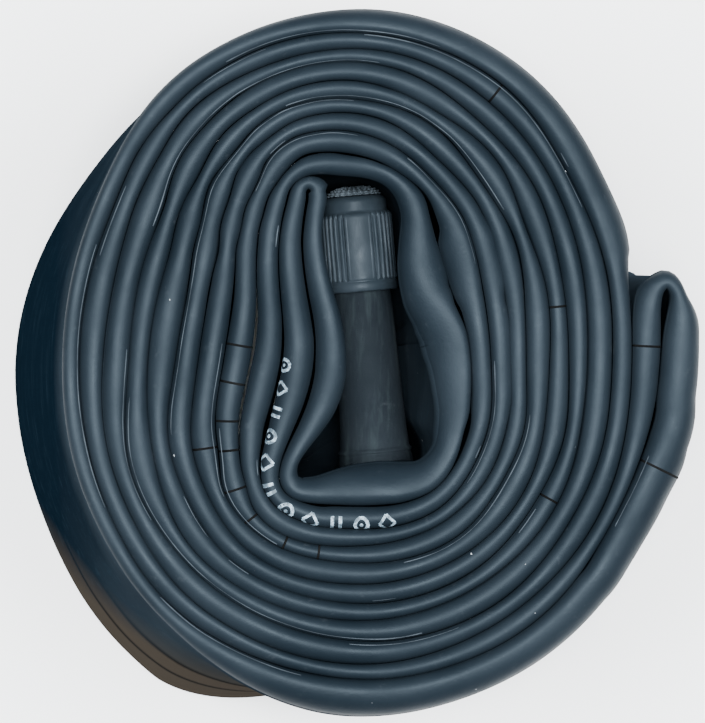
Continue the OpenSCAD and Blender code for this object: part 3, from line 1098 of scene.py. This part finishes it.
def stem_material():
    """Matt rubber, worn in streaks along the stem."""
    material, tree, shader = rubber_material("stem", *STEM_SHADES, 0.35, (0.60, 0.8), 0.5)
    colour = shader.inputs["Base Color"].links[0].from_socket
    streaks = noise(tree, place_coords(tree, (1, 0.14, 1)), 520, 4, 0.7)
    worn = ramp(tree, streaks, [(0.50, 0.0), (0.66, 0.6)])
    dress(tree, shader, colour=mix(tree, worn, colour, STEM_WEAR))
    return material


def flash_material():
    """Thin rubber painted pale, a painted highlight for the light the thin fin catches."""
    material, tree, shader = new_material("flash")
    vector = place_coords(tree)
    shade = mottle(tree, vector, 160, 4, *FLASH_PAINTED_HIGHLIGHT_SHADES, 0.42, 0.75)
    rough = mottle(tree, vector, 500, 3, 0.5, 0.75)
    dress(tree, shader, colour=shade, rough=rough, gloss=0.15)
    return material


def vent_material():
    """Nearly black rubber, a painted shade for the small shadows the raised lines cast."""
    material, tree, shader = new_material("vent")
    vector = place_coords(tree)
    shade = mottle(tree, vector, 300, 3, 0.0012, 0.005)
    dress(tree, shader, colour=shade, rough=0.8, gloss=0.03)
    bump(tree, shader, noise(tree, vector, 2500, 2), 0.3, 0.0001)
    return material


def print_material():
    """Worn bluish white ink."""
    material, tree, shader = new_material("ink")
    worn = noise(tree, place_coords(tree), 1300, 3, 0.7)
    dark, light = INK_SHADES
    dress(tree, shader, colour=ramp(tree, worn, [(0.42, dark), (0.62, light)]), rough=0.7)
    bump(tree, shader, worn, 0.3, 0.00005)
    return material


def plastic_material(name, dark, light):
    """Dark plastic with pale wear."""
    material, tree, shader = new_material(name)
    vector = place_coords(tree)
    shade = mottle(tree, vector, 260, 5, dark, light)
    worn = ramp(tree, noise(tree, vector, 900, 4, 0.8), [(0.62, 0.0), (0.85, 0.6)])
    rough = mottle(tree, vector, 420, 4, 0.40, 0.58)
    colour = mix(tree, worn, shade, CAP_WEAR)
    dress(tree, shader, colour=colour, rough=rough, gloss=0.18, tint=(0.78, 0.90, 1.0))
    bump(tree, shader, noise(tree, vector, 2200, 3), 0.2, 0.00008)
    return material


def brass_material():
    """Turned brass, with fine lines round the valve's axis."""
    material, tree, shader = new_material("machined_brass")
    shade = mottle(tree, place_coords(tree), 600, 4, *BRASS_SHADES)
    lines = place_coords(tree, (1, 12, 1))
    rough = mottle(tree, lines, 900, 3, 0.22, 0.42)
    dress(tree, shader, colour=shade, rough=rough, metal=1.0)
    bump(tree, shader, noise(tree, lines, 1800, 2), 0.25, 0.00006)
    return material


def steel_material():
    """Drawn spring wire."""
    material, tree, shader = new_material("spring_wire")
    vector = place_coords(tree)
    shade = mottle(tree, vector, 900, 3, 0.38, 0.60)
    rough = mottle(tree, vector, 1500, 3, 0.2, 0.4)
    dress(tree, shader, colour=shade, rough=rough, metal=1.0)
    return material


def seal_material(name, dark, light):
    """Matt rubber of the core's and the cap's seals."""
    material, tree, shader = new_material(name)
    vector = place_coords(tree)
    shade = mottle(tree, vector, 700, 4, dark, light)
    dress(tree, shader, colour=shade, rough=0.65)
    bump(tree, shader, noise(tree, vector, 2600, 3), 0.3, 0.00008)
    return material


def paint_nodes():
    """Materials for the CAD nodes that stay as they are."""
    brass = brass_material()
    seal = seal_material("black_seal", *SEAL_SHADES)
    gasket = seal_material("red_gasket", *GASKET_SHADES)
    finishes = {
        "valve_barrel": brass, "core_plug": brass, "core_shell": brass, "core_pin": brass,
        "core_cup": brass, "core_foot": brass, "core_gasket": gasket, "core_washer": seal,
        "cap_seal": seal,
    }
    for node, material in finishes.items():
        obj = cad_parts[node]
        obj.data.materials.clear()
        obj.data.materials.append(material)


# ---- Stage, light and camera ----

# Half the floor's side, and how far it lies below the roll
FLOOR_HALF = 900
FLOOR_DROP = 0.02
# Each light's name, place and size in metres, power in watts, and colour
LIGHTS = (
    ("key_left", (-0.34, 0.10, 0.74), 0.42, 11, (0.96, 0.99, 1.0)),
    ("key_right", (0.36, 0.06, 0.74), 0.42, 11, (0.96, 0.99, 1.0)),
    ("above", (0.0, 0.02, 0.95), 0.26, 19, (0.98, 0.99, 1.0)),
)
LIGHT_TARGET = Vector((0, 0, 0.03))
# The camera's distance, how many degrees it stands to the left and to the top of the picture,
# what it looks at beside the roll's centre, its sensor, and the picture's pixels to the
# millimetre and its height in pixels
CAMERA_DISTANCE = 500
TILT_LEFT = 3.0
TILT_UP = 1.5
AIM = (-0.56, -0.06)
SENSOR = 36
FRONT_SCALE = 8.0
PICTURE_HIGH = 723


def make_floor():
    """A pale floor under the roll."""
    material, tree, shader = new_material("floor")
    shade = mottle(tree, place_coords(tree), 6, 3, 0.90, 0.93)
    dress(tree, shader, colour=shade, rough=0.9)
    a, z = FLOOR_HALF, -FLOOR_DROP
    corners = [(-a, -a, z), (a, -a, z), (a, a, z), (-a, a, z)]
    floor = build("floor", corners, [(0, 1, 2, 3)], material, smooth=False)


def area_light(name, place, size, power, colour):
    """A round light that faces the roll."""
    light = bpy.data.lights.new(name, "AREA")
    light.shape = "DISK"
    light.size = size
    light.energy = power
    light.color = colour
    obj = bpy.data.objects.new(name, light)
    bpy.context.scene.collection.objects.link(obj)
    obj.location = place
    obj.rotation_mode = "QUATERNION"
    obj.rotation_quaternion = (LIGHT_TARGET - obj.location).to_track_quat("-Z", "Y")


def make_lights():
    """The lights, and a sky that is brighter overhead."""
    world = bpy.data.worlds.new("studio")
    world.use_nodes = True
    tree = world.node_tree
    coords = tree.nodes.new("ShaderNodeTexCoord")
    split = tree.nodes.new("ShaderNodeSeparateXYZ")
    tree.links.new(coords.outputs["Generated"], split.inputs["Vector"])
    sky = ramp(tree, split.outputs["Z"], [(0.30, (0.03, 0.04, 0.05)), (0.95, (0.72, 0.86, 1.0))])
    tree.links.new(sky, tree.nodes["Background"].inputs["Color"])
    bpy.context.scene.world = world
    for light in LIGHTS:
        area_light(*light)


def make_camera():
    """Above the roll, looking down its axis and a little from the left."""
    data = bpy.data.cameras.new("camera")
    data.sensor_width = SENSOR
    data.lens = SENSOR * CAMERA_DISTANCE * FRONT_SCALE / PICTURE_HIGH
    data.clip_start = 0.01
    data.clip_end = 20
    camera = bpy.data.objects.new("camera", data)
    bpy.context.scene.collection.objects.link(camera)
    target = Vector((*(ROLL_CENTRE + AIM), WIDTH)) * MM
    a, b = math.radians(TILT_LEFT), math.radians(TILT_UP)
    back = Vector((-math.sin(a), math.sin(b), math.cos(a) * math.cos(b))).normalized()
    camera.location = target + back * CAMERA_DISTANCE * MM
    right = Vector((0, 1, 0)).cross(back).normalized()
    up = back.cross(right)
    camera.rotation_mode = "QUATERNION"
    camera.rotation_quaternion = Matrix((right, up, back)).transposed().to_quaternion()
    bpy.context.scene.camera = camera


def main():
    band = Band()
    skin = Skin(band)
    edge = tube_material("butyl", 0.11, *EDGE_SHADES)
    wall = tube_material("butyl_wall_painted_lighter", 0.0, *WALL_SHADES_PAINTED_LIGHTER)
    make_tube(skin, edge, wall)
    make_flash(skin, flash_material())
    make_vents(skin, vent_material())
    make_print(skin, print_material())
    make_mound(rubber_material("pad", *PAD_SHADES)[0])
    make_stem(stem_material())
    plastic = plastic_material("cap_plastic", *CAP_SHADES)
    bosses = plastic_material("cap_crown_painted_light", *CROWN_PAINTED_LIGHT_SHADES)
    make_cap(plastic, bosses)
    make_spring(steel_material())
    paint_nodes()
    make_floor()
    make_lights()
    make_camera()


main()
